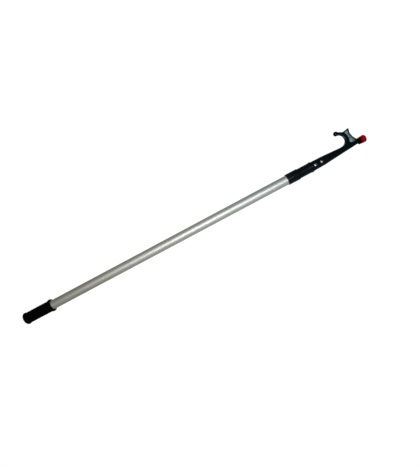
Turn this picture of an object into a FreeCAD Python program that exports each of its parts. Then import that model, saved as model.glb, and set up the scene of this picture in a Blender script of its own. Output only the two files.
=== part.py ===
"""Telescopic boat hook with an internal twist lock, as a parametric FreeCAD document.

Millimetres. +X runs along the pole from the butt to the tip, the hook's arm stands out towards +Y, and
+Z is up with the pole lying flat. The origin is the centre of the butt's flat end face. The pole is drawn
closed, with the twist lock tightened.
"""

import FreeCAD, Part
import math
import os
import Sketcher

# Driving dimensions, in millimetres unless the name ends in _count or _degrees.
DIMENSIONS = {
    # poles
    "outer_diameter": 30.0, "outer_wall": 1.2, "outer_start": 8.5, "outer_length": 982.4,
    "inner_diameter": 25.0, "inner_wall": 1.1, "inner_start": 100.0, "inner_length": 985.0,
    # hand grip
    "grip_length": 102.2, "grip_diameter": 36.6, "grip_rear_flange": 39.5, "grip_front_flange": 41.0,
    "grip_rear_flange_end": 5.6, "grip_rear_slope": 5.4, "grip_front_flange_start": 89.5,
    "grip_front_flat": 94.5, "grip_front_dish": 2.4, "grip_front_rim": 34.0,
    "grip_butt_rounding": 4.1, "grip_front_rounding": 3.2,
    # butt plug
    "butt_plug_head": 4.5, "butt_plug_head_diameter": 20.0, "butt_plug_length": 24.0, "butt_plug_web": 3.0,
    "butt_plug_wall": 2.2, "butt_plug_relief": 0.5, "butt_plug_rib": 4.0,
    # collar and its guide bush
    "collar_start": 951.2, "collar_length": 86.5, "collar_rear_length": 39.7, "collar_rear_diameter": 34.7,
    "collar_front_diameter": 31.6, "collar_band_length": 8.2, "collar_band_diameter": 32.4,
    "collar_ring_length": 3.8, "collar_ring_diameter": 34.0, "collar_lip_bore": 25.7,
    "collar_rounding": 1.0, "collar_ring_rounding": 0.7,
    "bush_length": 36.0, "bush_outer": 28.0, "bush_bore": 25.15, "bush_slit": 1.5,
    # twist lock: positions are measured from the butt
    "sleeve_start": 52.0, "sleeve_length": 44.0, "sleeve_diameter": 27.45, "sleeve_mouth": 21.0,
    "sleeve_throat": 13.0, "sleeve_taper_length": 28.0, "sleeve_bore": 8.6, "sleeve_slit": 2.4,
    "sleeve_slit_length": 34.0, "sleeve_slit_count": 4, "sleeve_end_rounding": 0.8,
    "cone_length": 34.0, "cone_start": 45.0, "cone_large": 21.6, "cone_rim": 6.5, "cone_gap": 0.05,
    "cone_key_width": 2.2, "cone_key_reach": 12.4, "cone_key_start": 9.0, "cone_key_length": 14.0,
    "cone_key_root": 6.0, "cone_key_count": 2,
    "cone_nut_across": 13.0, "cone_nut_length": 6.5, "cone_nut_recess": 1.2,
    "stud_diameter": 8.0, "thread_gap": 0.05, "stud_start": 32.0, "stud_length": 90.0,
    "stud_head_diameter": 13.0, "stud_head_length": 6.0,
    "washer_diameter": 24.0, "washer_thickness": 1.9, "washer_bore": 8.4,
    "plug_flange": 2.0, "plug_length": 34.0, "plug_flange_diameter": 25.0,
    "pin_diameter": 4.0, "pin_position": 128.0, "pin_inset": 0.3,
    "stop_nut_across": 13.0, "stop_nut_length": 7.5, "stop_nut_offset": 1.5,
    "stop_washer_diameter": 16.0, "stop_washer_thickness": 1.6,
    # float inside the inner pole
    "float_start": 860.0, "float_length": 170.0, "float_gap": 0.2,
    # hook head
    "head_start": 1038.1, "socket_depth": 46.9, "socket_mouth_diameter": 31.0, "socket_mouth_length": 4.4,
    "socket_diameter": 30.1, "socket_taper_end": 39.9, "socket_taper_diameter": 28.3,
    "socket_taper_shift": 0.4,
    "shank_mid_reach": 67.9, "shank_mid_diameter": 24.2, "shank_mid_shift": 0.9,
    "shank_fore_reach": 109.9, "shank_fore_diameter": 18.1, "shank_fore_shift": 1.4,
    "shank_neck_reach": 160.4, "shank_neck_diameter": 10.9, "shank_neck_shift": 2.1,
    "spigot_diameter": 9.6, "spigot_length": 15.0, "spigot_root": 2.0,
    "barb_diameter": 12.4, "barb_length": 4.0,
    "throat_reach": 108.2, "throat_height": 29.8, "throat_radius": 18.9, "bar_diameter": 10.4,
    "bar_sweep_degrees": 170.0, "ball_diameter": 14.4, "ball_reach": 110.3, "ball_height": 55.1,
    "web_foot_reach": 114.0, "web_foot_height": 2.0, "web_hollow_thickness": 3.6,
    "web_rim_thickness": 12.0, "web_slope_start": 136.0, "web_slope_end": 149.0,
    "spike_reach": 150.8, "spike_height": 53.0, "spike_width": 6.5, "spike_tip_width": 1.2,
    "spike_front_setback": 1.1, "crest_reach": 121.0, "crest_height": 54.6, "crest_radius": 31.0,
    "front_radius": 41.0, "front_foot_height": 11.2,
    # socket rivets
    "rivet_first": 8.4, "rivet_spacing": 21.7, "rivet_head": 8.0, "rivet_head_height": 1.7,
    "rivet_shank": 4.0, "rivet_hole": 4.1, "rivet_seat_rear": 14.3, "rivet_seat_front": 13.85,
    "rivet_seat_diameter": 8.4, "rivet_seat_clearance": 1.0, "rivet_rim": 0.5, "rivet_crown_drop": 0.2,
    "rivet_tail": 6.2, "rivet_tail_length": 3.2, "rivet_tail_chamfer": 0.6, "rivet_tail_gap": 0.4,
    "mandrel_diameter": 2.0, "mandrel_length": 6.8, "mandrel_sink": 0.4,
    # tip bumper
    "bumper_length": 24.7, "bumper_rear_diameter": 20.0, "bumper_bulge_diameter": 22.8,
    "bumper_bulge_reach": 17.5, "bumper_front_diameter": 21.6, "bumper_front_rounding": 4.2,
    "bumper_rear_rounding": 1.2,
}

doc = FreeCAD.newDocument("boat_hook")
dims = doc.addObject("Spreadsheet::Sheet", "dims")
for row, (alias, size) in enumerate(DIMENSIONS.items(), start=1):
    dims.set(f"A{row}", alias.replace("_", " "))
    dims.set(f"B{row}", str(size))
    dims.setAlias(f"B{row}", alias)
doc.recompute()

FULL_TURN = 360.0
NODES = []


# ---------------------------------------------------------------- drawing helpers

def bound(text):
    """Puts the sheet's name before every alias in an expression."""
    words = []
    for word in text.split():
        name = word.strip("()")
        words.append(word.replace(name, "dims." + name) if name in DIMENSIONS else word)
    return " ".join(words)


def value(text):
    """Gives the number an expression has at present."""
    found = dims.evalExpression(bound(text))
    return float(getattr(found, "Value", found))


def new_body(name, start=None):
    """Starts a body that is placed along the pole at start."""
    body = doc.addObject("PartDesign::Body", name)
    body.Label = name
    if start:
        body.setExpression("Placement.Base.x", bound(start))
    NODES.append(body)
    return body


def origin_piece(body, role):
    return next(piece for piece in body.Origin.OriginFeatures if piece.Role == role)


def new_sketch(body, name, plane="XY_Plane", offset=None):
    """Attaches a sketch to one of the body's own origin planes, moved along its normal by offset."""
    sketch = body.newObject("Sketcher::SketchObject", name)
    sketch.AttachmentSupport = [(origin_piece(body, plane), "")]
    sketch.MapMode = "FlatFace"
    if offset:
        sketch.setExpression(".AttachmentOffset.Base.z", bound(offset))
    return sketch


def bind_size(sketch, constraint, name, text):
    index = sketch.addConstraint(constraint)
    sketch.renameConstraint(index, name)
    sketch.setExpression("Constraints." + name, bound(text))


def pin_point(sketch, geometry, end, name, across, up):
    """Fixes a point of the sketch at two expressions, measured from the sketch's origin."""
    bind_size(sketch, Sketcher.Constraint("DistanceX", geometry, end, value(across)), name + "_x", across)
    bind_size(sketch, Sketcher.Constraint("DistanceY", geometry, end, value(up)), name + "_y", up)


def arc_between(start, end, radius):
    """Gives the arc between two points. A positive radius runs anticlockwise, a negative one clockwise."""
    chord = end.sub(start)
    left = FreeCAD.Vector(-chord.y, chord.x, 0).normalize()
    depth = math.copysign(math.sqrt(radius ** 2 - chord.Length ** 2 / 4), radius)
    centre = start.add(end).multiply(0.5).add(left.multiply(depth))
    first, last = (start, end) if radius > 0 else (end, start)
    turns = [math.atan2(point.y - centre.y, point.x - centre.x) for point in (first, last)]
    ring = Part.Circle(centre, FreeCAD.Vector(0, 0, 1), abs(radius))
    return Part.ArcOfCircle(ring, *turns)


def outline(sketch, corners):
    """Draws a closed outline. Each corner is (x, y) for a line, or (x, y, radius) for an arc, to the next."""
    points = [FreeCAD.Vector(value(corner[0]), value(corner[1]), 0) for corner in corners]
    edges = []
    for index, corner in enumerate(corners):
        start, end = points[index], points[(index + 1) % len(points)]
        if len(corner) == 2:
            edges.append((sketch.addGeometry(Part.LineSegment(start, end)), 1, 2))
            continue
        radius = value(corner[2])
        edge = sketch.addGeometry(arc_between(start, end, radius))
        edges.append((edge, 1, 2) if radius > 0 else (edge, 2, 1))
    for index, corner in enumerate(corners):
        edge, first, _ = edges[index]
        before, _, last = edges[index - 1]
        sketch.addConstraint(Sketcher.Constraint("Coincident", before, last, edge, first))
        pin_point(sketch, edge, first, f"corner{index}", corner[0], corner[1])
        if len(corner) == 3:
            size = corner[2].lstrip("- ")
            bind_size(sketch, Sketcher.Constraint("Radius", edge, value(size)), f"arc{index}", size)


def circle(sketch, diameter, across="0", up="0", name="ring"):
    centre = FreeCAD.Vector(value(across), value(up), 0)
    normal = FreeCAD.Vector(0, 0, 1)
    index = sketch.addGeometry(Part.Circle(centre, normal, value(diameter) / 2))
    pin_point(sketch, index, 3, name, across, up)
    bind_size(sketch, Sketcher.Constraint("Diameter", index, value(diameter)), name + "_size", diameter)


def revolve(body, sketch, name="turned", axis="H_Axis"):
    """Turns an outline a full turn round one of the sketch's own axes."""
    turned = body.newObject("PartDesign::Revolution", name)
    turned.Profile = sketch
    turned.ReferenceAxis = (sketch, [axis])
    turned.Angle = FULL_TURN
    doc.recompute()
    return turned


def turned_body(name, start, corners):
    """Makes a body of revolution round the pole's axis. Corners are (along, radius) from start."""
    body = new_body(name, start)
    sketch = new_sketch(body, name + "_profile")
    outline(sketch, corners)
    revolve(body, sketch)
    return body


def pad(body, sketch, length, name="extrusion", both_ways=False):
    feature = body.newObject("PartDesign::Pad", name)
    feature.Profile = sketch
    feature.setExpression("Length", bound(length))
    feature.Midplane = both_ways
    doc.recompute()
    return feature


def cut(body, sketch, length, name, both_ways=False, reverse=False):
    """Cuts a pocket and makes sure that it removed something."""
    before = body.Shape.Volume
    feature = body.newObject("PartDesign::Pocket", name)
    feature.Profile = sketch
    feature.setExpression("Length", bound(length))
    feature.Midplane = both_ways
    feature.Reversed = reverse
    doc.recompute()
    assert body.Shape.Volume < before - 1e-3, f"{name} cuts nothing from {body.Label}"
    return feature


def repeat_round(body, feature, count, name):
    """Repeats a feature evenly round the pole's axis."""
    pattern = body.newObject("PartDesign::PolarPattern", name)
    pattern.Originals = [feature]
    pattern.Axis = (origin_piece(body, "X_Axis"), [""])
    pattern.Angle = FULL_TURN
    pattern.setExpression("Occurrences", bound(count))
    body.Tip = pattern
    doc.recompute()
    return pattern


def ring_edges(feature, rings):
    """Finds the round edges about the body's X axis at each (along, radius)."""
    names = []
    for along, radius in rings:
        for index, edge in enumerate(feature.Shape.Edges, start=1):
            curve = edge.Curve
            if not isinstance(curve, Part.Circle) or abs(abs(curve.Axis.x) - 1) > 1e-6:
                continue
            if abs(curve.Center.x - value(along)) < 1e-4 and abs(curve.Radius - value(radius)) < 1e-4:
                names.append(f"Edge{index}")
    assert len(names) >= len(rings), f"a round edge is missing from {feature.Label}"
    return names


def round_rings(body, radius, rings, name="rounding"):
    base = body.Tip
    feature = body.newObject("PartDesign::Fillet", name)
    feature.Base = (base, ring_edges(base, rings))
    feature.setExpression("Radius", bound(radius))
    doc.recompute()
    return feature


def tube_body(name, start, outer, inner, length):
    """Makes a plain tube along the pole: two circles on the cross plane, extruded."""
    body = new_body(name, start)
    sketch = new_sketch(body, name + "_section", "YZ_Plane")
    circle(sketch, outer, name="outside")
    circle(sketch, inner, name="inside")
    pad(body, sketch, length)
    return body


def cylinder(name, diameter, length, start=None, direction=(1, 0, 0)):
    """Makes a Part cylinder that starts on the pole's axis and runs in the direction."""
    rod = doc.addObject("Part::Cylinder", name)
    rod.setExpression("Radius", bound(f"( {diameter} ) / 2"))
    rod.setExpression("Height", bound(length))
    rod.Placement.Rotation = FreeCAD.Rotation(FreeCAD.Vector(0, 0, 1), FreeCAD.Vector(*direction))
    if start:
        rod.setExpression("Placement.Base.x", bound(start))
    return rod


def combine(kind, name, base, tool):
    """Makes a Part boolean of two shapes: Part::Cut or Part::Fuse."""
    result = doc.addObject(kind, name)
    result.Base = base
    result.Tool = tool
    result.Label = name
    return result


def washer(name, start, diameter, bore, thickness):
    disc = cylinder(name + "_disc", diameter, thickness, start)
    hole = cylinder(name + "_hole", bore, thickness, start)
    NODES.append(combine("Part::Cut", name, disc, hole))


# ---------------------------------------------------------------- outer pole

def make_outer_tube():
    bore = "outer_diameter - 2 * outer_wall"
    tube_body("outer_tube", "outer_start", "outer_diameter", bore, "outer_length")


def make_hand_grip():
    """A moulded sleeve, closed and flat at the butt, with a flange at each end and a dished front face."""
    butt_flange = "grip_rear_flange / 2"
    front_flange = "grip_front_flange / 2"
    waist = "grip_diameter / 2"
    body = turned_body("hand_grip", None, [
        ("0", "0"),
        ("0", butt_flange),
        ("grip_rear_flange_end", butt_flange),
        ("grip_rear_flange_end + grip_rear_slope", waist),
        ("grip_front_flange_start", waist),
        ("grip_front_flat", front_flange),
        ("grip_length", front_flange),
        ("grip_length", "grip_front_rim / 2"),
        ("grip_length - grip_front_dish", "outer_diameter / 2"),
        ("outer_start", "outer_diameter / 2"),
        ("outer_start", "butt_plug_head_diameter / 2"),
        ("outer_start - butt_plug_head", "butt_plug_head_diameter / 2"),
        ("outer_start - butt_plug_head", "0"),
    ])
    round_rings(body, "grip_front_rounding", [("grip_length", front_flange)], "front_rounding")
    round_rings(body, "grip_butt_rounding", [("0", butt_flange)], "butt_rounding")


def make_butt_plug():
    """A cup pressed into the butt of the outer tube with two raised ribs; its head backs the grip's end."""
    rib = "outer_diameter / 2 - outer_wall"
    skin = "outer_diameter / 2 - outer_wall - butt_plug_relief"
    hollow = "outer_diameter / 2 - outer_wall - butt_plug_relief - butt_plug_wall"
    end = "butt_plug_length"
    turned_body("butt_plug", "outer_start", [
        ("- butt_plug_head", "0"),
        ("- butt_plug_head", "butt_plug_head_diameter / 2"),
        ("0", "butt_plug_head_diameter / 2"),
        ("0", rib),
        ("butt_plug_rib", rib),
        ("butt_plug_rib", skin),
        (f"{end} - 2 * butt_plug_rib", skin),
        (f"{end} - 2 * butt_plug_rib", rib),
        (f"{end} - butt_plug_rib", rib),
        (end, skin),
        (end, hollow),
        ("butt_plug_web", hollow),
        ("butt_plug_web", "0"),
    ])


def make_collar():
    """A moulded collar: a wide rear over the outer tube, a slimmer nose round the bush, and an end ring."""
    step = "collar_rear_length"
    band = "collar_length - collar_band_length"
    ring = "collar_length - collar_ring_length"
    bush_end = "collar_rear_length + bush_length"
    rear = "collar_rear_diameter / 2"
    nose = "collar_front_diameter / 2"
    lip = "collar_ring_diameter / 2"
    body = turned_body("collar", "collar_start", [
        ("0", "outer_diameter / 2"),
        ("0", rear),
        (step, rear),
        (step, nose),
        (band, nose),
        (band, "collar_band_diameter / 2"),
        (ring, "collar_band_diameter / 2"),
        (ring, lip),
        ("collar_length", lip),
        ("collar_length", "collar_lip_bore / 2"),
        (bush_end, "collar_lip_bore / 2"),
        (bush_end, "bush_outer / 2"),
        (step, "bush_outer / 2"),
        (step, "outer_diameter / 2"),
    ])
    round_rings(body, "collar_rounding", [("0", rear), (step, rear)], "rear_rounding")
    round_rings(body, "collar_ring_rounding", [(ring, lip), ("collar_length", lip)], "ring_rounding")


def make_guide_bush():
    """A plain bearing for the inner tube, slit along its length so that it snaps into the collar."""
    start = "collar_start + collar_rear_length"
    body = tube_body("guide_bush", start, "bush_outer", "bush_bore", "bush_length")
    slit = new_sketch(body, "slit_outline", "XZ_Plane")
    half = "bush_slit / 2"
    outline(slit, [("0", f"- {half}"), ("bush_length", f"- {half}"), ("bush_length", half), ("0", half)])
    cut(body, slit, "bush_outer / 2", "slit", reverse=True)


# ---------------------------------------------------------------- twist lock

def sleeve_radius_at(along):
    """The radius of the sleeve's tapered bore, at a distance from its mouth."""
    return f"( sleeve_mouth - ( sleeve_mouth - sleeve_throat ) * ( {along} ) / sleeve_taper_length ) / 2"


def make_expander_sleeve():
    """A split sleeve that slides in the outer tube. Its bore tapers, and the cone drawn in spreads it."""
    end = "sleeve_length"
    body = turned_body("expander_sleeve", "sleeve_start", [
        ("0", "sleeve_mouth / 2"),
        ("0", "sleeve_diameter / 2"),
        (end, "sleeve_diameter / 2"),
        (end, "sleeve_bore / 2"),
        ("sleeve_taper_length", "sleeve_bore / 2"),
        ("sleeve_taper_length", "sleeve_throat / 2"),
    ])
    round_rings(body, "sleeve_end_rounding", [(end, "sleeve_diameter / 2")])
    slit = new_sketch(body, "slit_outline", "XZ_Plane")
    half = "sleeve_slit / 2"
    outline(slit, [("0", f"- {half}"), ("sleeve_slit_length", f"- {half}"),
                   ("sleeve_slit_length", half), ("0", half)])
    first = cut(body, slit, "sleeve_diameter / 2", "slit", reverse=True)
    repeat_round(body, first, "sleeve_slit_count", "slits")


def make_expander_cone():
    """A cone that rides on the stud. Two keys in the sleeve's slits stop it turning with the stud."""
    overlap = "sleeve_start - cone_start"
    seat = sleeve_radius_at(f"cone_rim - ( {overlap} )")
    nose = sleeve_radius_at(f"cone_length - ( {overlap} )")
    rim = "cone_large / 2"
    body = turned_body("expander_cone", "cone_start", [
        ("0", "stud_diameter / 2 + thread_gap"),
        ("0", rim),
        ("cone_rim", rim),
        ("cone_rim", f"{seat} - cone_gap"),
        ("cone_length", f"{nose} - cone_gap"),
        ("cone_length", "stud_diameter / 2 + thread_gap"),
    ])
    recess = new_sketch(body, "nut_recess", "YZ_Plane")
    hexagon(recess, "cone_nut_across")
    cut(body, recess, "cone_nut_recess + cone_nut_length", "nut_pocket", reverse=True)
    key = new_sketch(body, "key_outline", "XY_Plane")
    end = "cone_key_start + cone_key_length"
    outline(key, [("cone_key_start", "cone_key_root"), (end, "cone_key_root"),
                  (end, "cone_key_reach"), ("cone_key_start", "cone_key_reach")])
    block = pad(body, key, "cone_key_width", "key", both_ways=True)
    repeat_round(body, block, "cone_key_count", "keys")


def hexagon(sketch, across_flats):
    """Draws a hexagon round the sketch's origin, with two corners on the sketch's vertical axis."""
    size = value(across_flats) / math.sqrt(3)
    corners = []
    for index in range(6):
        turn = math.radians(90 + 60 * index)
        corners.append(FreeCAD.Vector(size * math.cos(turn), size * math.sin(turn), 0))
    sides = []
    for index in range(6):
        sides.append(sketch.addGeometry(Part.LineSegment(corners[index], corners[(index + 1) % 6])))
    for index in range(6):
        joined = Sketcher.Constraint("Coincident", sides[index - 1], 2, sides[index], 1)
        sketch.addConstraint(joined)
    rim = sketch.addGeometry(Part.Circle(FreeCAD.Vector(0, 0, 0), FreeCAD.Vector(0, 0, 1), size), True)
    sketch.addConstraint(Sketcher.Constraint("Coincident", rim, 3, -1, 1))
    for side in sides:
        sketch.addConstraint(Sketcher.Constraint("PointOnObject", side, 1, rim))
    for side in sides[1:]:
        sketch.addConstraint(Sketcher.Constraint("Equal", sides[0], side))
    sketch.addConstraint(Sketcher.Constraint("PointOnObject", sides[0], 1, -2))
    radius = Sketcher.Constraint("Diameter", rim, 2 * size)
    bind_size(sketch, radius, "across_corners", f"2 * ( {across_flats} ) / sqrt(3)")


def hex_nut(name, start, across, length, bore):
    body = new_body(name, start)
    sketch = new_sketch(body, name + "_section", "YZ_Plane")
    hexagon(sketch, across)
    circle(sketch, bore, name="bore")
    pad(body, sketch, length)
    return body


def make_stud_and_nuts():
    """The threaded stud, drawn as a plain rod, with the cone's nut and the nut that stops its travel."""
    bore = "stud_diameter + 2 * thread_gap"
    turned_body("lock_stud", "stud_start", [
        ("0", "0"),
        ("0", "stud_diameter / 2"),
        ("stud_length - stud_head_length", "stud_diameter / 2"),
        ("stud_length - stud_head_length", "stud_head_diameter / 2"),
        ("stud_length", "stud_head_diameter / 2"),
        ("stud_length", "0"),
    ])
    nut_across = "cone_nut_across - 2 * thread_gap"
    hex_nut("cone_nut", "cone_start + cone_nut_recess", nut_across, "cone_nut_length", bore)
    hex_nut("stop_nut", "stud_start + stop_nut_offset", "stop_nut_across", "stop_nut_length",
            "stud_diameter")
    washer("stop_washer", "stud_start + stop_nut_offset + stop_nut_length", "stop_washer_diameter",
           "stud_diameter", "stop_washer_thickness")
    washer("thrust_washer", "inner_start - plug_flange - washer_thickness", "washer_diameter",
           "washer_bore", "washer_thickness")


def make_stud_plug():
    """A plug pressed into the rear of the inner tube, moulded round the stud's head."""
    spigot = "inner_diameter / 2 - inner_wall"
    head_start = "stud_start + stud_length - stud_head_length - inner_start + plug_flange"
    head_end = "stud_start + stud_length - inner_start + plug_flange"
    body = turned_body("stud_plug", "inner_start - plug_flange", [
        ("0", "stud_diameter / 2"),
        ("0", "plug_flange_diameter / 2"),
        ("plug_flange", "plug_flange_diameter / 2"),
        ("plug_flange", spigot),
        ("plug_flange + plug_length", spigot),
        ("plug_flange + plug_length", "0"),
        (head_end, "0"),
        (head_end, "stud_head_diameter / 2"),
        (head_start, "stud_head_diameter / 2"),
        (head_start, "stud_diameter / 2"),
    ])
    cross_hole(body, "pin_diameter", "pin_position - inner_start + plug_flange")


def cross_hole(body, diameter, along, length="inner_diameter * 2"):
    """Drills a hole right through, up and down, at a distance along the body."""
    sketch = new_sketch(body, "cross_hole_outline", "XY_Plane")
    circle(sketch, diameter, across=along, name="cross_hole")
    cut(body, sketch, length, "cross_hole", both_ways=True)


def make_plug_pin():
    length = "inner_diameter - 2 * pin_inset"
    pin = cylinder("plug_pin", "pin_diameter", length, "pin_position", (0, 0, 1))
    pin.Label = "plug_pin"
    pin.setExpression("Placement.Base.z", bound("pin_inset - inner_diameter / 2"))
    NODES.append(pin)


# ---------------------------------------------------------------- inner pole

def make_inner_tube():
    bore = "inner_diameter - 2 * inner_wall"
    body = tube_body("inner_tube", "inner_start", "inner_diameter", bore, "inner_length")
    cross_hole(body, "pin_diameter", "pin_position - inner_start")
    holes = new_sketch(body, "rivet_hole_outline", "XY_Plane")
    first = "head_start + rivet_first - inner_start"
    circle(holes, "rivet_hole", across=first, name="first")
    circle(holes, "rivet_hole", across=f"{first} + rivet_spacing", name="second")
    cut(body, holes, "inner_diameter", "rivet_holes", reverse=True)


def make_tube_float():
    """A closed-cell foam bung near the head of the inner tube, which keeps a dropped hook afloat."""
    diameter = "inner_diameter - 2 * inner_wall - 2 * float_gap"
    foam = cylinder("tube_float", diameter, "float_length", "float_start")
    foam.Label = "tube_float"
    NODES.append(foam)


# ---------------------------------------------------------------- hook head

def loft_section(body, name, reach, diameter, shift):
    sketch = new_sketch(body, name, "YZ_Plane", reach)
    circle(sketch, diameter, across=shift, name="section")
    return sketch


def make_shank(body):
    """The socket, then a shank that tapers to the neck behind the tip bumper."""
    stations = [
        ("socket_mouth", "0", "socket_mouth_diameter", "0"),
        ("socket_start", "socket_mouth_length", "socket_diameter", "0"),
        ("socket_foot", "socket_taper_end", "socket_taper_diameter", "socket_taper_shift"),
        ("shank_mid", "shank_mid_reach", "shank_mid_diameter", "shank_mid_shift"),
        ("shank_fore", "shank_fore_reach", "shank_fore_diameter", "shank_fore_shift"),
        ("shank_neck", "shank_neck_reach", "shank_neck_diameter", "shank_neck_shift"),
    ]
    sections = [loft_section(body, *station) for station in stations]
    loft = body.newObject("PartDesign::AdditiveLoft", "shank")
    loft.Profile = sections[0]
    loft.Sections = sections[1:]
    loft.Ruled = True
    doc.recompute()


def make_spigot(body):
    """A barbed spigot that holds the rubber bumper."""
    sketch = new_sketch(body, "spigot_profile", "XY_Plane")
    axis = "shank_neck_shift"
    root = "shank_neck_reach - spigot_root"
    barb = "shank_neck_reach + spigot_length - barb_length"
    tip = "shank_neck_reach + spigot_length"
    stem = f"{axis} + spigot_diameter / 2"
    outline(sketch, [
        (root, axis),
        (root, stem),
        (barb, stem),
        (barb, f"{axis} + barb_diameter / 2"),
        (tip, stem),
        (tip, axis),
    ])
    line = sketch.addGeometry(Part.LineSegment(FreeCAD.Vector(value(root), value(axis), 0),
                                               FreeCAD.Vector(value(tip), value(axis), 0)), True)
    pin_point(sketch, line, 1, "axis_start", root, axis)
    pin_point(sketch, line, 2, "axis_end", tip, axis)
    turned = body.newObject("PartDesign::Revolution", "spigot")
    turned.Profile = sketch
    turned.ReferenceAxis = (sketch, ["Axis0"])
    turned.Angle = FULL_TURN
    doc.recompute()


def on_bar(degrees):
    """A point on the bar's centre line, which is an arc round the throat."""
    radius = "( throat_radius + bar_diameter / 2 )"
    across = f"throat_reach + {radius} * cos( ( {degrees} ) * 1deg )"
    up = f"throat_height + {radius} * sin( ( {degrees} ) * 1deg )"
    return across, up


def make_bar(body):
    """The round bar that curls round the throat from the shank to the ball end: part of a ring."""
    section = new_sketch(body, "bar_section", "XZ_Plane", "- throat_height")
    circle(section, "bar_diameter", across="throat_reach + throat_radius + bar_diameter / 2", name="section")
    middle = value("throat_reach")
    axis = section.addGeometry(Part.LineSegment(FreeCAD.Vector(middle, 0, 0),
                                                FreeCAD.Vector(middle, value("throat_radius"), 0)), True)
    pin_point(section, axis, 1, "axis_foot", "throat_reach", "0")
    pin_point(section, axis, 2, "axis_head", "throat_reach", "throat_radius")
    bar = body.newObject("PartDesign::Revolution", "bar")
    bar.Profile = section
    bar.ReferenceAxis = (section, ["Axis0"])
    bar.Midplane = True
    bar.setExpression("Angle", bound("bar_sweep_degrees"))
    doc.recompute()


def make_ball(body):
    ball = body.newObject("PartDesign::AdditiveSphere", "ball_end")
    ball.setExpression("Radius", bound("ball_diameter / 2"))
    ball.AttachmentSupport = [(origin_piece(body, "XY_Plane"), "")]
    ball.MapMode = "FlatFace"
    away_from_bar = FreeCAD.Rotation(FreeCAD.Vector(0, 0, 1), 180)
    ball.AttachmentOffset = FreeCAD.Placement(FreeCAD.Vector(0, 0, 0), away_from_bar)
    ball.setExpression(".AttachmentOffset.Base.x", bound("ball_reach"))
    ball.setExpression(".AttachmentOffset.Base.y", bound("ball_height"))
    doc.recompute()


def make_web(body):
    """The blade between the bar and the hollow front edge, with the spike at its top."""
    sketch = new_sketch(body, "web_outline", "XY_Plane")
    spike_front = "spike_reach - spike_front_setback"
    outline(sketch, [
        on_bar("-50"),
        ("web_foot_reach", "web_foot_height"),
        ("shank_neck_reach", "shank_neck_shift"),
        ("shank_neck_reach", "front_foot_height", "- front_radius"),
        (spike_front, "spike_height - spike_width"),
        ("spike_reach", "spike_height - spike_tip_width"),
        ("spike_reach - spike_tip_width", "spike_height", "- crest_radius"),
        ("crest_reach", "crest_height"),
        on_bar("35"),
        on_bar("0"),
        on_bar("-20"),
    ])
    pad(body, sketch, "web_rim_thickness", "web", both_ways=True)
    hollow_web(body, "", "upper_hollow")
    hollow_web(body, "- ", "lower_hollow")


def hollow_web(body, side, name):
    """Thins one face of the blade beside the bar. From there the face slopes up to the front rim."""
    sketch = new_sketch(body, name + "_section", "XZ_Plane")
    floor = f"{side}web_hollow_thickness / 2"
    rim = f"{side}web_rim_thickness / 2"
    outline(sketch, [
        ("throat_reach", floor),
        ("web_slope_start", floor),
        ("web_slope_end", rim),
        ("throat_reach", rim),
    ])
    cut(body, sketch, "4 * spike_height", name, both_ways=True)


def make_hook_head():
    body = new_body("hook_head", "head_start")
    make_web(body)
    make_shank(body)
    make_spigot(body)
    make_bar(body)
    make_ball(body)
    bore = new_sketch(body, "socket_outline", "YZ_Plane")
    circle(bore, "inner_diameter", name="socket")
    cut(body, bore, "socket_depth", "socket", reverse=True)
    holes = new_sketch(body, "rivet_hole_outline", "XY_Plane")
    circle(holes, "rivet_hole", across="rivet_first", name="first")
    circle(holes, "rivet_hole", across="rivet_first + rivet_spacing", name="second")
    cut(body, holes, "inner_diameter", "rivet_holes", reverse=True)
    spot_face(body, "rivet_first", "rivet_seat_rear", "rear_seat")
    spot_face(body, "rivet_first + rivet_spacing", "rivet_seat_front", "front_seat")


def spot_face(body, along, height, name):
    """Flattens the socket's crown so that a rivet's head can sit on it."""
    sketch = new_sketch(body, name + "_outline", "XY_Plane", height)
    circle(sketch, "rivet_seat_diameter", across=along, name="seat")
    cut(body, sketch, "rivet_head_height + rivet_seat_clearance", name, reverse=True)


def make_rivet(name, along, seat):
    """A blind rivet: domed head on the socket, shank through both walls, set tail inside the tube."""
    body = new_body(name, along)
    sketch = new_sketch(body, name + "_profile", "XZ_Plane")
    inside = "inner_diameter / 2 - inner_wall"
    tail = f"{inside} - rivet_tail_length"
    crown = f"{seat} + rivet_head_height"
    stem = "mandrel_diameter / 2"
    outline(sketch, [
        (stem, tail),
        ("rivet_tail / 2 - rivet_tail_chamfer", tail),
        ("rivet_tail / 2", f"{tail} + rivet_tail_chamfer"),
        ("rivet_tail / 2", f"{inside} - rivet_tail_gap"),
        ("rivet_shank / 2", f"{inside} - rivet_tail_gap"),
        ("rivet_shank / 2", seat),
        ("rivet_head / 2", seat),
        ("rivet_head / 2", f"{seat} + rivet_rim"),
        ("rivet_head / 4", f"{crown} - rivet_crown_drop"),
        (stem, crown),
    ])
    revolve(body, sketch, axis="V_Axis")


def make_rivets():
    first = "head_start + rivet_first"
    places = [("rear", first, "rivet_seat_rear"), ("front", f"{first} + rivet_spacing", "rivet_seat_front")]
    stems = []
    for end, along, seat in places:
        make_rivet(f"socket_rivet_{end}", along, seat)
        stem = cylinder(f"mandrel_{end}", "mandrel_diameter", "mandrel_length", along, (0, 0, 1))
        low = f"{seat} + rivet_head_height - mandrel_sink - mandrel_length"
        stem.setExpression("Placement.Base.z", bound(low))
        stems.append(stem)
    pair = doc.addObject("Part::Compound", "rivet_mandrels")
    pair.Links = stems
    pair.Label = "rivet_mandrels"
    NODES.append(pair)


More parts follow.
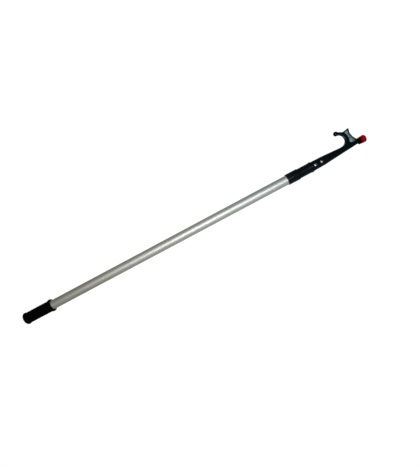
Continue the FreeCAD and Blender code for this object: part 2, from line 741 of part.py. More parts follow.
def make_tip_bumper():
    """A soft rubber cap stretched over the barbed spigot at the tip of the hook."""
    start = "head_start + shank_neck_reach"
    barb = "spigot_length - barb_length"
    stem = "spigot_diameter / 2"
    body = turned_body("tip_bumper", start, [
        ("0", stem),
        ("0", "bumper_rear_diameter / 2"),
        ("bumper_bulge_reach", "bumper_bulge_diameter / 2"),
        ("bumper_length", "bumper_front_diameter / 2"),
        ("bumper_length", "0"),
        ("spigot_length", "0"),
        ("spigot_length", stem),
        (barb, "barb_diameter / 2"),
        (barb, stem),
    ])
    front = [("bumper_length", "bumper_front_diameter / 2")]
    round_rings(body, "bumper_front_rounding", front, "front_rounding")
    round_rings(body, "bumper_rear_rounding", [("0", "bumper_rear_diameter / 2")], "rear_rounding")
    body.setExpression("Placement.Base.y", bound("shank_neck_shift"))


# ---------------------------------------------------------------- build, check and write

def check_and_write():
    doc.recompute()
    for item in doc.Objects:
        faults = {"Invalid", "Error"} & set(item.State)
        assert not faults, f"{item.Label} is {item.State}"
    os.makedirs("parts", exist_ok=True)
    for node in NODES:
        shape = node.Shape
        assert not shape.isNull() and shape.isValid(), f"{node.Label} has no valid shape"
        shape.exportStep(f"parts/{node.Label}.step")
        box = shape.optimalBoundingBox(False)
        print(f"{node.Label:20s} {len(shape.Solids)} solid  {shape.Volume / 1000:8.2f} cm3  "
              f"x {box.XMin:7.1f} to {box.XMax:7.1f}  y {box.YMin:6.1f} to {box.YMax:6.1f}  "
              f"z {box.ZMin:6.1f} to {box.ZMax:6.1f}")


make_outer_tube()
make_hand_grip()
make_butt_plug()
make_collar()
make_guide_bush()
make_expander_sleeve()
make_expander_cone()
make_stud_and_nuts()
make_stud_plug()
make_plug_pin()
make_inner_tube()
make_tube_float()
make_hook_head()
make_rivets()
make_tip_bumper()
check_and_write()
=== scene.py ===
"""Looks of the telescopic boat hook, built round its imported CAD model.

Metres, in the CAD frame: +X along the pole to the tip, +Y towards the hook's arm, +Z up on the rivets'
side. Shapes are worked out in millimetres, as in the CAD, and made into meshes at MM.
"""

import math

import bpy
import numpy as np
from mathutils import Matrix, Vector


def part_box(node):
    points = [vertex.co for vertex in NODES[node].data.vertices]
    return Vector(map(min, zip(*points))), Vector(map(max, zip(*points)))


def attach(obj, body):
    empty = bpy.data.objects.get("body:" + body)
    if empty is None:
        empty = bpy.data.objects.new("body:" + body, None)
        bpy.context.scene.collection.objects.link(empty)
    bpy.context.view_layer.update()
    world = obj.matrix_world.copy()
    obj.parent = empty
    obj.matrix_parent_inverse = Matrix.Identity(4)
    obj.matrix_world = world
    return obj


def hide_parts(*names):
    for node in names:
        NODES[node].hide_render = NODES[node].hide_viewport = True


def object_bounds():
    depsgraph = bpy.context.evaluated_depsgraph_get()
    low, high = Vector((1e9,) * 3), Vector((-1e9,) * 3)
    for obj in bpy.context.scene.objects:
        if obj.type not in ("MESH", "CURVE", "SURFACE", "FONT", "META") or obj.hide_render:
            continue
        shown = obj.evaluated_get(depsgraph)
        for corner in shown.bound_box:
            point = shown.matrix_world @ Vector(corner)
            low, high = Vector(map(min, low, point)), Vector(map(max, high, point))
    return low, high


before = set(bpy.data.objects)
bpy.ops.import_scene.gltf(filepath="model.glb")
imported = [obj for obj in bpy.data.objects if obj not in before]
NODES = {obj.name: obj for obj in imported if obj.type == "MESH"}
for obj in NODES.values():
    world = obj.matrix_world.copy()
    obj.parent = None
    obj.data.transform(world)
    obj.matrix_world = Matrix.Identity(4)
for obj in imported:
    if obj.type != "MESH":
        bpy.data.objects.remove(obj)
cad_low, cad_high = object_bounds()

MM = 0.001


def extent(node):
    """A CAD node's lowest and highest corners, in millimetres."""
    low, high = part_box(node)
    return np.array(low) / MM, np.array(high) / MM


def across_pole(back):
    """The pole's own direction and the one beside it, both square to back."""
    along = (Vector((1, 0, 0)) - back * back.x).normalized()
    return along, back.cross(along)


def stand(name, data, place, axes):
    """Adds a camera or lamp at a place, with its own X, Y and Z along the three axes."""
    item = bpy.data.objects.new(name, data)
    item.matrix_world = Matrix.Translation(place) @ Matrix(axes).transposed().to_4x4()
    bpy.context.scene.collection.objects.link(item)
    return item


# ---------------------------------------------------------------- camera

CAMERA_DISTANCE = 1.1724            # from the aim point to the lens
CAMERA_PITCH = math.radians(2.8)    # the lens stands this far towards the tip from square
CAMERA_ROLL = math.radians(3.0)     # and this far towards the hook's side
POLE_SLANT = math.radians(27.96)    # the pole climbs to the upper right
AIM_ALONG = 0.6598                  # the aim point, along the pole
AIM_ASIDE = -0.0348                 # and beside it, across the picture
LENS = 28.52                        # in millimetres, like the sensor
SENSOR_WIDTH = 36.0


def make_camera():
    back = Vector((math.sin(CAMERA_PITCH), math.cos(CAMERA_PITCH) * math.sin(CAMERA_ROLL),
                   math.cos(CAMERA_PITCH) * math.cos(CAMERA_ROLL)))
    along, aside = across_pole(back)
    right = along * math.cos(POLE_SLANT) - aside * math.sin(POLE_SLANT)
    up = along * math.sin(POLE_SLANT) + aside * math.cos(POLE_SLANT)
    aim = Vector((AIM_ALONG, 0, 0)) + aside * AIM_ASIDE
    data = bpy.data.cameras.new("camera")
    data.lens = LENS
    data.sensor_width = SENSOR_WIDTH
    bpy.context.scene.camera = stand("camera", data, aim + back * CAMERA_DISTANCE, (right, up, back))


# ---------------------------------------------------------------- materials

# A Mix node's sockets when it mixes colours.
MIX_SHARE, MIX_FIRST, MIX_SECOND, MIX_RESULT = 0, 6, 7, 2
DUST = 0.00072    # what dust adds to a black rubber's colour


def add_node(tree, kind, inputs=None, **settings):
    """A node with its settings, and with inputs that are numbers or other nodes' sockets."""
    made = tree.nodes.new(kind)
    for key, value in settings.items():
        setattr(made, key, value)
    for key, value in (inputs or {}).items():
        if isinstance(value, bpy.types.NodeSocket):
            tree.links.new(value, made.inputs[key])
        else:
            made.inputs[key].default_value = value
    return made


def scaled(colour, share):
    return [channel * share for channel in colour]


class Paint:
    """A node material. Patterns lie in the piece's own space, and their sizes are in millimetres."""

    def __init__(self, name, colour, rough, **sockets):
        self.material = bpy.data.materials.new(name)
        self.material.use_nodes = True
        self.tree = self.material.node_tree
        self.shader = self.tree.nodes["Principled BSDF"]
        self.shader.inputs["Base Color"].default_value = (*colour, 1)
        self.shader.inputs["Roughness"].default_value = rough
        for socket, value in sockets.items():
            self.shader.inputs[socket.replace("_", " ")].default_value = value
        self.space = self.node("ShaderNodeTexCoord").outputs["Object"]
        self.normal = None

    def node(self, kind, inputs=None, **settings):
        return add_node(self.tree, kind, inputs, **settings)

    def stretched(self, size):
        """The piece's space, measured in cells of a size along X, Y and Z."""
        scale = [1 / (MM * side) for side in size]
        return self.node("ShaderNodeMapping", {"Vector": self.space, "Scale": scale}).outputs["Vector"]

    def noise(self, size, detail=2.0):
        """Soft noise whose cells have a size, one number or three."""
        size = size if hasattr(size, "__len__") else (size, size, size)
        inputs = {"Vector": self.stretched(size), "Scale": 1.0, "Detail": detail}
        return self.node("ShaderNodeTexNoise", inputs).outputs["Fac"]

    def pits(self, size):
        """Rounded cells of a size, dark in their middles."""
        inputs = {"Vector": self.stretched((size, size, size)), "Scale": 1.0}
        return self.node("ShaderNodeTexVoronoi", inputs).outputs["Distance"]

    def graded(self, source, before, after, low=0.0, high=1.0, shape="LINEAR"):
        """Maps source from before..after to low..high, held at both ends."""
        inputs = {"Value": source, "From Min": before, "From Max": after, "To Min": low, "To Max": high}
        return self.node("ShaderNodeMapRange", inputs, clamp=True, interpolation_type=shape).outputs["Result"]

    def along(self, axis):
        """The place along X, Y or Z in metres."""
        return self.node("ShaderNodeSeparateXYZ", {"Vector": self.space}).outputs[axis]

    def attribute(self, name):
        return self.node("ShaderNodeAttribute", attribute_name=name).outputs["Fac"]

    def maths(self, operation, *values):
        inputs = dict(enumerate(values))
        return self.node("ShaderNodeMath", inputs, operation=operation).outputs["Value"]

    def mixed(self, share, first, second):
        """Colours first and second mixed by share. Either may be a socket."""
        first, second = [c if isinstance(c, bpy.types.NodeSocket) else (*c, 1) for c in (first, second)]
        inputs = {MIX_SHARE: share, MIX_FIRST: first, MIX_SECOND: second}
        return self.node("ShaderNodeMix", inputs, data_type="RGBA").outputs[MIX_RESULT]

    def varied(self, colour, share, source, before, after):
        """A colour that goes to a share of itself as source goes from before to after."""
        return self.mixed(self.graded(source, before, after), colour, scaled(colour, share))

    def colour(self, source):
        self.tree.links.new(source, self.shader.inputs["Base Color"])

    def rough(self, source):
        self.tree.links.new(source, self.shader.inputs["Roughness"])

    def relief(self, height, depth, strength=1.0):
        """Adds bumps of a depth in millimetres to those already there."""
        inputs = {"Height": height, "Distance": depth * MM, "Strength": strength}
        if self.normal:
            inputs["Normal"] = self.normal
        self.normal = self.node("ShaderNodeBump", inputs).outputs["Normal"]
        self.tree.links.new(self.normal, self.shader.inputs["Normal"])


def anodised(name, colour, rough):
    """Drawn and anodised tube: fine streaks along the pole, cloudy sheen, and a few faint rubs."""
    paint = Paint(name, colour, rough, Metallic=1.0)
    streaks = paint.noise((60.0, 0.35, 0.35), detail=3.0)
    cloud = paint.noise((90.0, 9.0, 9.0))
    rubs = paint.graded(paint.noise((7.0, 1.3, 1.3), detail=4.0), 0.66, 0.74)
    drawn = paint.varied(colour, 0.93, streaks, 0.25, 0.75)
    paint.colour(paint.mixed(paint.maths("MULTIPLY", rubs, 0.35), drawn, scaled(colour, 0.86)))
    paint.rough(paint.graded(cloud, 0.3, 0.7, rough - 0.03, rough + 0.03))
    paint.relief(streaks, depth=0.012, strength=0.5)
    return paint.material


def rubber(name, colour, rough):
    """Matte rubber: a fine stipple, a little dust held in it, and slightly polished high edges."""
    paint = Paint(name, colour, rough, Specular_IOR_Level=0.04)
    cloud = paint.noise(14.0, detail=4.0)
    dusty = [channel + DUST for channel in colour]
    paint.colour(paint.mixed(paint.graded(cloud, 0.35, 0.75), colour, dusty))
    paint.rough(paint.graded(paint.attribute("edge"), 0.0, 1.0, rough, rough - 0.2))
    paint.relief(paint.pits(0.55), depth=0.06, strength=0.55)
    paint.relief(paint.noise(5.0, detail=3.0), depth=0.05, strength=0.3)
    return paint.material


def moulded(name, colour, rough, gloss, tint, seam_axis):
    """Moulded nylon: a fine spark texture, uneven sheen, scuffed edges, and a parting line."""
    paint = Paint(name, colour, rough, Specular_IOR_Level=gloss, Specular_Tint=(*tint, 1))
    cloud = paint.noise(22.0, detail=3.0)
    clean = paint.varied(colour, 1.25, cloud, 0.3, 0.7)
    scuffed = [channel * 1.9 + 0.003 for channel in colour]
    patches = paint.graded(paint.noise(2.4, detail=3.0), 0.42, 0.62, 0.0, 0.8)
    paint.colour(paint.mixed(paint.maths("MULTIPLY", paint.attribute("edge"), patches), clean, scuffed))
    sheen = paint.graded(cloud, 0.3, 0.7, rough - 0.04, rough + 0.05)
    scratches = paint.graded(paint.noise((9.0, 1.1, 1.1), detail=5.0), 0.68, 0.73)
    paint.rough(paint.maths("ADD", sheen, paint.maths("MULTIPLY", scratches, 0.12)))
    paint.relief(paint.noise(0.35), depth=0.008, strength=0.5)
    off_seam = paint.maths("ABSOLUTE", paint.along(seam_axis))
    paint.relief(paint.graded(off_seam, 0.0, 0.25 * MM, 1.0, 0.0), depth=0.12, strength=0.7)
    return paint.material


def bumper_rubber(name, red, dark, root, fade):
    """Soft red rubber, near-black at its rear end, going over to red from root over a length of fade."""
    paint = Paint(name, red, 0.6, Specular_IOR_Level=0.03)
    cloud = paint.noise(6.0, detail=4.0)
    clean = paint.varied(red, 0.82, cloud, 0.35, 0.7)
    share = paint.graded(paint.along("X"), root * MM, (root + fade) * MM, shape="SMOOTHSTEP")
    paint.colour(paint.mixed(share, dark, clean))
    paint.rough(paint.graded(cloud, 0.3, 0.7, 0.54, 0.66))
    paint.relief(paint.pits(0.7), depth=0.04, strength=0.4)
    return paint.material


def turned_metal(name, colour, rough):
    """Plated or turned metal: fine tool rings round the part's axis and a mottled sheen."""
    paint = Paint(name, colour, rough, Metallic=1.0)
    mottle = paint.noise(1.6, detail=4.0)
    paint.colour(paint.varied(colour, 0.8, mottle, 0.35, 0.7))
    paint.rough(paint.graded(mottle, 0.3, 0.7, rough - 0.06, rough + 0.08))
    paint.relief(paint.noise((0.25, 6.0, 6.0)), depth=0.015, strength=0.5)
    return paint.material


def plain_plastic(name, colour, rough):
    """Unpolished moulded plastic with flow marks."""
    paint = Paint(name, colour, rough)
    flow = paint.noise((18.0, 5.0, 5.0), detail=4.0)
    paint.colour(paint.varied(colour, 0.9, flow, 0.35, 0.7))
    paint.rough(paint.graded(flow, 0.3, 0.7, rough - 0.05, rough + 0.06))
    paint.relief(paint.noise(0.5), depth=0.02, strength=0.4)
    return paint.material


def foam_bung(name, colour):
    """Closed-cell foam: shallow open cells on the cut skin, with painted shade darkening their hollows."""
    paint = Paint(name, colour, 0.9, Specular_IOR_Level=0.2)
    cells = paint.pits(1.1)
    # Painted shade: the colour goes darker towards each cell's hollow middle.
    paint.colour(paint.mixed(paint.graded(cells, 0.1, 0.6), scaled(colour, 0.85), colour))
    paint.relief(cells, depth=0.25, strength=0.7)
    return paint.material


def finish_node(node, material):
    """Gives a CAD node its material."""
    mesh = NODES[node].data
    if not NODES[node].material_slots:
        mesh.materials.append(material)
    for slot in NODES[node].material_slots:
        slot.material = material


# ---------------------------------------------------------------- turned pieces

CORNER_STEPS = 6
SHARP_FROM = 32     # the angle in degrees from which a turned piece's edges are drawn sharp
EDGE_GAIN = 5.0     # how soon a corner counts as a full edge


def rounded(corners):
    """Rounds each (along, radius, rounding) corner of an outline with an arc."""
    points = []
    count = len(corners)
    for index, (x, y, *extra) in enumerate(corners):
        corner = np.array((x, y), float)
        rounding = extra[0] if extra else 0
        if not rounding:
            points.append(corner)
            continue
        arms = [np.array(corners[(index + step) % count][:2], float) - corner for step in (-1, 1)]
        before, after = [arm / np.linalg.norm(arm) for arm in arms]
        half = math.acos(np.clip(before @ after, -1, 1)) / 2
        middle = before + after
        centre = corner + middle / np.linalg.norm(middle) * rounding / math.sin(half)
        reach = rounding / math.tan(half)
        spokes = [corner + arm * reach - centre for arm in (before, after)]
        sweep = math.pi - 2 * half
        for step in range(CORNER_STEPS + 1):
            share = step / CORNER_STEPS
            weights = math.sin((1 - share) * sweep), math.sin(share * sweep)
            points.append(centre + (spokes[0] * weights[0] + spokes[1] * weights[1]) / math.sin(sweep))
    return points


def field_of(items, field, width, kind=float):
    """One field of every vertex or edge, a row each."""
    values = np.empty(len(items) * width, kind)
    items.foreach_get(field, values)
    return values.reshape(-1, width)


def mark_edges(mesh):
    """Stores how far each vertex stands proud of its neighbours, for wear along edges."""
    places = field_of(mesh.vertices, "co", 3)
    normals = field_of(mesh.vertices, "normal", 3)
    pairs = field_of(mesh.edges, "vertices", 2, int)
    span = places[pairs[:, 1]] - places[pairs[:, 0]]
    span /= np.maximum(np.linalg.norm(span, axis=1, keepdims=True), 1e-9)
    rise, met = np.zeros(len(places)), np.zeros(len(places))
    for end, sign in ((0, -1), (1, 1)):
        np.add.at(rise, pairs[:, end], sign * np.einsum("ij,ij->i", span, normals[pairs[:, end]]))
        np.add.at(met, pairs[:, end], 1)
    edge = np.clip(rise / np.maximum(met, 1) * EDGE_GAIN, 0, 1)
    mesh.attributes.new("edge", "FLOAT", "POINT").data.foreach_set("value", edge)


def add_mesh(name, verts, faces, sharp=None):
    mesh = bpy.data.meshes.new(name)
    mesh.from_pydata([tuple(v) for v in verts], [], [tuple(int(i) for i in f) for f in faces])
    mesh.validate()
    mesh.shade_smooth()
    if sharp:
        mesh.set_sharp_from_angle(angle=math.radians(sharp))
    mark_edges(mesh)
    piece = bpy.data.objects.new(name, mesh)
    bpy.context.scene.collection.objects.link(piece)
    return piece


def turned(name, corners, spins=96, centre=(0.0, 0.0), upright=False):
    """Turns a closed outline about the pole's axis, or about an upright axis through centre.

    Corners are (along, radius) or (along, radius, rounding), in millimetres, in the order that goes round
    the section with the solid on the right. A point at radius 0 is one vertex.
    """
    verts, rings = [], []
    for along, radius in rounded(corners):
        if radius < 1e-6:
            rings.append([len(verts)] * spins)
            verts.append((along, 0.0, 0.0))
            continue
        rings.append(range(len(verts), len(verts) + spins))
        for spin in range(spins):
            turn = 2 * math.pi * spin / spins
            verts.append((along, radius * math.cos(turn), radius * math.sin(turn)))
    faces = []
    for index, ring in enumerate(rings):
        following = rings[(index + 1) % len(rings)]
        if ring[0] == ring[-1] and following[0] == following[-1]:
            continue
        for spin in range(spins):
            after = (spin + 1) % spins
            loop = [ring[spin], ring[after], following[after], following[spin]]
            faces.append(list(dict.fromkeys(loop)))
    if upright:
        verts = [(centre[0] + y, centre[1] + z, x) for x, y, z in verts]
    else:
        verts = [(x, y + centre[0], z + centre[1]) for x, y, z in verts]
    return add_mesh(name, np.array(verts) * MM, faces, sharp=SHARP_FROM)


# ---------------------------------------------------------------- moulded head

# Places are in millimetres from the CAD frame's origin. Reach is the distance from the socket's mouth.
HEAD_LOW, HEAD_HIGH = extent("hook_head")
TUBE_END = extent("inner_tube")[1][0]
BUMPER_REAR = extent("tip_bumper")[0][0]
HEAD_GRID = 0.7
RIVETS = ("rear", "front")

# (reach, centre line's y, radius)
SHANK = [(0.0, 0.0, 15.5), (4.4, 0.0, 15.05), (39.9, 0.4, 14.15), (67.9, 0.9, 12.1), (109.9, 1.4, 9.05),
         (160.4, 2.1, 5.45), (200.0, 2.6, 5.45)]
SHANK_LAP = 1.0             # the shank's front end runs this far into the bumper
MOUTH_ROUNDING = 0.7
SOCKET_RADIUS = extent("inner_tube")[1][1] + 0.03
LEAST_WALL = 1.3            # what the socket leaves of the shank at its slim end
NECK_ASIDE = 2.1            # the neck inside the bumper, from y = 0
NECK_RADIUS = 4.8
NECK_HALF = 12.5            # half its length, about the bumper's rear

THROAT = np.array((HEAD_LOW[0] + 108.2, 29.8))
# (angle round the throat in degrees, the throat's radius, the bar's radius)
BAR = [(-88, 19.0, 6.2), (-50, 19.1, 6.0), (-25, 19.4, 5.7), (5, 18.8, 5.4), (33, 18.7, 5.1), (48, 18.4, 5.2),
       (60, 18.4, 5.1), (72, 18.8, 4.9), (84, 18.9, 4.7)]
# (angle, the rounding of the bar's corners): flat-faced up to the first angle, all but round from the second
BAR_CORNERS = [(15.0, 2.4), (60.0, 5.0)]
BALL = np.array((HEAD_LOW[0] + 110.1, 55.1, 0.0))
BALL_RADIUS = 7.4

# (reach, half the blade's thickness): a hollow by the bar, a slope, then a flatter band up to the front rim
BLADE = [(120.5, 1.7), (135.9, 1.7), (138.6, 2.05), (140.6, 2.7), (142.6, 3.5), (144.6, 4.35), (146.6, 5.05),
         (149.5, 5.85), (152.5, 6.6), (155.5, 7.05), (170.5, 7.3)]
LEAN_START = 20.0           # from this y up, the slope leans back
LEAN = 0.13                 # millimetres back for each millimetre up
MOST_LEAN = 3.9
RIM_WIDTH = 3.8             # the band along the outline where the faces fall away
RIM_FALL = 0.42             # millimetres of fall for each millimetre of band
BLADE_ROUNDING = 1.5

ARM_FILLET = 2.2            # where bar, blade and ball meet
ROOT_FILLET = 3.0           # where they meet the shank
BORE_FILLET, SEAT_FILLET, DRILL_FILLET = 0.8, 0.6, 0.3
RIVET_HEAD = 1.7            # the height of a rivet's head over its seat
SEAT_RADIUS = 4.4
DRILL_RADIUS = 2.1
DRILL_BOTTOM, DRILL_TOP = 4.0, 20.0


def looked_up(place, table, column=1):
    """A table's column at places between its rows."""
    rows = np.array(table)
    return np.interp(place, rows[:, 0], rows[:, column])


def smooth_join(first, second, reach):
    """The union of two distance fields, with a fillet of about reach."""
    share = np.clip(0.5 + 0.5 * (second - first) / reach, 0, 1)
    return second + (first - second) * share - reach * share * (1 - share)


def smooth_cut(first, tool, reach):
    return -smooth_join(-first, tool, reach)


def rounded_meeting(first, second, rounding):
    """What lies inside both distance fields, with a rounded edge where their surfaces meet."""
    beyond = np.maximum(first + rounding, 0) ** 2 + np.maximum(second + rounding, 0) ** 2
    return np.sqrt(beyond) + np.minimum(np.maximum(first, second) + rounding, 0) - rounding


def arc_points(centre, radius, start, end, count):
    turns = np.radians(np.linspace(start, end, count))
    return [(centre[0] + radius * math.cos(t), centre[1] + radius * math.sin(t)) for t in turns]


def to_line(x, y, points):
    """The distance to an open run of straight pieces."""
    best = np.full(np.broadcast(x, y).shape, np.inf)
    for (ax, ay), (bx, by) in zip(points, points[1:]):
        dx, dy = bx - ax, by - ay
        share = np.clip(((x - ax) * dx + (y - ay) * dy) / (dx * dx + dy * dy), 0, 1)
        best = np.minimum(best, np.hypot(x - ax - share * dx, y - ay - share * dy))
    return best


def to_outline(x, y, points):
    """The signed distance to a closed outline, negative inside."""
    inside = np.zeros(np.broadcast(x, y).shape, bool)
    for (ax, ay), (bx, by) in zip(points, points[1:] + points[:1]):
        crosses = (ay > y) != (by > y)
        with np.errstate(divide="ignore", invalid="ignore"):
            inside ^= crosses & (x < (bx - ax) * (y - ay) / (by - ay) + ax)
    return np.where(inside, -1, 1) * to_line(x, y, points + points[:1])


def spline(points, count=6):
    """A smooth run through points, as a Catmull-Rom curve with count steps in each gap."""
    points = [np.array(p, float) for p in points]
    padded = [2 * points[0] - points[1], *points, 2 * points[-1] - points[-2]]
    run = []
    for index in range(1, len(padded) - 2):
        a, b, c, d = padded[index - 1:index + 3]
        for t in np.linspace(0, 1, count, endpoint=False):
            run.append(tuple(0.5 * (2 * b + (c - a) * t + (2 * a - 5 * b + 4 * c - d) * t * t
                                    + (3 * b - a - 3 * c + d) * t ** 3)))
    run.append(tuple(points[-1]))
    return run


def from_socket(places):
    return [(HEAD_LOW[0] + reach, y) for reach, y in places]


# The blade's outline: up its front edge, back along its crest, and down inside the bar to the shank.
FRONT_EDGE = spline(from_socket([(162.9, 7.6), (161.7, 9.8), (156.5, 15.7), (152.4, 23.6), (150.0, 31.5),
                                 (148.8, 40.0), (150.0, 46.6), (151.3, 53.6)]))
CREST = spline(from_socket([(151.3, 53.6), (141.0, 51.4), (134.5, 51.2), (128.0, 52.3), (121.0, 55.8)]))
INSIDE_BAR = arc_points(THROAT, 24.2, 50, -58, 12)
WEB = FRONT_EDGE[:-1] + CREST + INSIDE_BAR + from_socket([(124.0, 2.0)])


def beside_shank(x, y, z):
    """The distance out from the shank's tapering side, negative inside."""
    reach = x - HEAD_LOW[0]
    return np.sqrt((y - looked_up(reach, SHANK)) ** 2 + z ** 2) - looked_up(reach, SHANK, 2)


def shank_field(x, y, z):
    ends = np.maximum(HEAD_LOW[0] - x, x - BUMPER_REAR - SHANK_LAP)
    return rounded_meeting(beside_shank(x, y, z), ends, MOUTH_ROUNDING)


def bar_field(x, y, z):
    """The bar that curls from the shank round the throat to the ball: flat-faced, then round and thinner."""
    turn = np.clip(np.degrees(np.arctan2(y - THROAT[1], x - THROAT[0])), BAR[0][0], BAR[-1][0])
    radius = looked_up(turn, BAR, 2)
    middle = looked_up(turn, BAR) + radius
    across = x - THROAT[0] - middle * np.cos(np.radians(turn))
    up = y - THROAT[1] - middle * np.sin(np.radians(turn))
    corner = np.minimum(looked_up(turn, BAR_CORNERS), radius)
    return rounded_meeting(np.hypot(across, up) - radius, np.abs(z) - radius, corner)


def web_field(x, y, z):
    """The blade behind the front edge. Its faces slope from a hollow by the bar to the thick front rim."""
    flat = to_outline(x, y, WEB)
    lean = np.clip((y - LEAN_START) * LEAN, 0, MOST_LEAN)
    half = looked_up(x - HEAD_LOW[0] + lean, BLADE)
    fall = np.maximum(flat + RIM_WIDTH, 0) * RIM_FALL
    return rounded_meeting(flat, np.abs(z) - half + fall, BLADE_ROUNDING)


def socket_field(x, y, z):
    """The inner tube's space in the head, less a wall where the shank gets too slim for it."""
    bore = np.maximum(np.sqrt(y ** 2 + z ** 2) - SOCKET_RADIUS, x - TUBE_END)
    return np.maximum(bore, beside_shank(x, y, z) + LEAST_WALL)


def head_field(x, y, z):
    """The signed distance to the head's surface, negative inside."""
    arm = smooth_join(bar_field(x, y, z), web_field(x, y, z), ARM_FILLET)
    ball = np.sqrt((x - BALL[0]) ** 2 + (y - BALL[1]) ** 2 + z ** 2) - BALL_RADIUS
    arm = smooth_join(arm, ball, ARM_FILLET)
    body = smooth_join(shank_field(x, y, z), arm, ROOT_FILLET)
    neck = np.sqrt((y - NECK_ASIDE) ** 2 + z ** 2) - NECK_RADIUS
    body = np.minimum(body, np.maximum(neck, np.abs(x - BUMPER_REAR) - NECK_HALF))
    body = smooth_cut(body, socket_field(x, y, z), BORE_FILLET)
    for end in RIVETS:
        low, high = extent(f"socket_rivet_{end}")
        from_axis = np.sqrt((x - (low[0] + high[0]) / 2) ** 2 + y ** 2)
        seat = np.maximum(from_axis - SEAT_RADIUS, high[2] - RIVET_HEAD - z)
        drilled = np.maximum(from_axis - DRILL_RADIUS, np.maximum(DRILL_BOTTOM - z, z - DRILL_TOP))
        body = smooth_cut(smooth_cut(body, seat, SEAT_FILLET), drilled, DRILL_FILLET)
    return body


def surface_net(field, low, grid):
    """Vertices and quads of the field's zero surface: one vertex in each cell that it passes through."""
    inside = field < 0
    cells = np.array(field.shape) - 1
    corners = [(i, j, k) for i in (0, 1) for j in (0, 1) for k in (0, 1)]

    filled = np.zeros(cells, int)
    for i, j, k in corners:
        filled += inside[i:i + cells[0], j:j + cells[1], k:k + cells[2]]
    mixed = np.argwhere((filled > 0) & (filled < len(corners)))
    number = np.full(cells, -1)
    number[tuple(mixed.T)] = np.arange(len(mixed))

    # Each vertex is the mean of the places where the surface crosses its cell's edges.
    total, crossings = np.zeros((len(mixed), 3)), np.zeros(len(mixed))
    for first in corners:
        for axis in range(3):
            if first[axis]:
                continue
            second = list(first)
            second[axis] = 1
            a = field[tuple((mixed + first).T)]
            b = field[tuple((mixed + second).T)]
            crossed = (a < 0) != (b < 0)
            share = np.where(crossed, a / np.where(crossed, a - b, 1), 0)
            place = np.array(first, float)[None] + share[:, None] * np.eye(3)[axis]
            total += place * crossed[:, None]
            crossings += crossed
    verts = low + (mixed + total / crossings[:, None]) * grid

    # Each grid edge that crosses the surface makes a quad of the four cells round it.
    faces = []
    for axis in range(3):
        one, two = (axis + 1) % 3, (axis + 2) % 3
        here = [slice(1, -1)] * 3
        here[axis] = slice(0, -1)
        there = list(here)
        there[axis] = slice(1, None)
        start, end = inside[tuple(here)], inside[tuple(there)]
        offset = np.array([0 if a == axis else 1 for a in range(3)])
        for outward in (True, False):
            marks = np.argwhere(start & ~end if outward else ~start & end) + offset
            ring = []
            for back_one, back_two in ((1, 1), (0, 1), (0, 0), (1, 0)):
                cell = marks.copy()
                cell[:, one] -= back_one
                cell[:, two] -= back_two
                ring.append(number[tuple(cell.T)])
            faces.append(np.stack(ring if outward else ring[::-1], axis=1))
    return verts, np.concatenate(faces)


def settle(verts, field):
    """Moves vertices onto the field's zero surface along its slope."""
    rounds, step, least_slope, furthest = 3, 0.02, 0.2, 0.3
    for _ in range(rounds):
        x, y, z = verts.T
        here = field(x, y, z)
        slope = np.stack([field(x + step, y, z) - here, field(x, y + step, z) - here,
                          field(x, y, z + step) - here], axis=1) / step
        size = np.maximum((slope ** 2).sum(axis=1), least_slope)
        verts = verts - np.clip(slope * (here / size)[:, None], -furthest, furthest)
    return verts


def make_head():
    margin = 3 * HEAD_GRID
    low, high = HEAD_LOW - margin, HEAD_HIGH + margin
    x, y, z = [np.arange(low[a], high[a], HEAD_GRID) for a in range(3)]
    field = head_field(x[:, None, None], y[None, :, None], z[None, None, :])
    verts, faces = surface_net(field, low, HEAD_GRID)
    verts = settle(verts, head_field)
    head = add_mesh("moulded_head", verts * MM, faces)
    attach(head, "inner_pole")
    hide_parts("hook_head")
    return head


# ---------------------------------------------------------------- grip, collar, bumper and rivets

FIT = 0.02      # between a moulding's bore and the tube or bush in it


def make_grip():
    front, flange = extent("hand_grip")[1][:2]
    tube_low, tube_high = extent("outer_tube")
    tube, tube_rear = tube_high[1] + FIT, tube_low[0]
    plug_rear = extent("butt_plug")[0][0] - 0.05
    butt, barrel, cavity = 19.75, 18.3, 10.05
    grip = turned("grip_sleeve", [
        (0.0, 0.0), (0.0, butt, 4.1), (5.6, butt, 2.2), (11.0, barrel, 5.0), (89.5, barrel, 5.0),
        (94.5, flange, 2.0), (front, flange, 3.2), (front, 17.0, 0.6), (front - 2.4, tube, 0.2),
        (tube_rear, tube), (tube_rear, cavity), (plug_rear, cavity), (plug_rear, 0.0)])
    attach(grip, "outer_pole")
    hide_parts("hand_grip")
    return grip


def make_collar():
    low, high = extent("collar")
    rear, front = low[0], high[0]
    tube_end, bush_end = extent("outer_tube")[1][0], extent("guide_bush")[1][0]
    tube, bush = extent("outer_tube")[1][1] + FIT, extent("guide_bush")[1][1] + FIT
    wide, slim, band, ring, bore = high[1], 15.8, 16.2, 17.0, 12.85
    band_rear, ring_rear = front - 8.2, front - 3.8
    collar = turned("collar_moulding", [
        (rear, tube, 0.3), (rear, wide, 1.3), (tube_end, wide, 0.9), (tube_end, slim, 0.8),
        (band_rear, slim, 0.3), (band_rear, band, 0.3), (ring_rear, band, 0.4), (ring_rear, ring, 0.7),
        (front, ring, 0.9), (front, bore, 0.4), (bush_end, bore), (bush_end, bush), (tube_end, bush),
        (tube_end, tube)])
    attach(collar, "outer_pole")
    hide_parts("collar")
    return collar


def make_bumper():
    low, high = extent("tip_bumper")
    rear, front = low[0], high[0]
    neck, neck_end = NECK_RADIUS + 0.05, rear + 15.0
    bumper = turned("bumper_cap", [
        (rear, neck, 0.5), (rear, 10.0, 1.2), (rear + 12.0, 11.1, 14.0), (rear + 18.5, 11.6, 9.0),
        (front, 11.2, 3.5), (front, 0.0), (neck_end, 0.0), (neck_end, neck)],
        centre=((low[1] + high[1]) / 2, 0.0))
    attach(bumper, "inner_pole")
    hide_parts("tip_bumper")
    return bumper


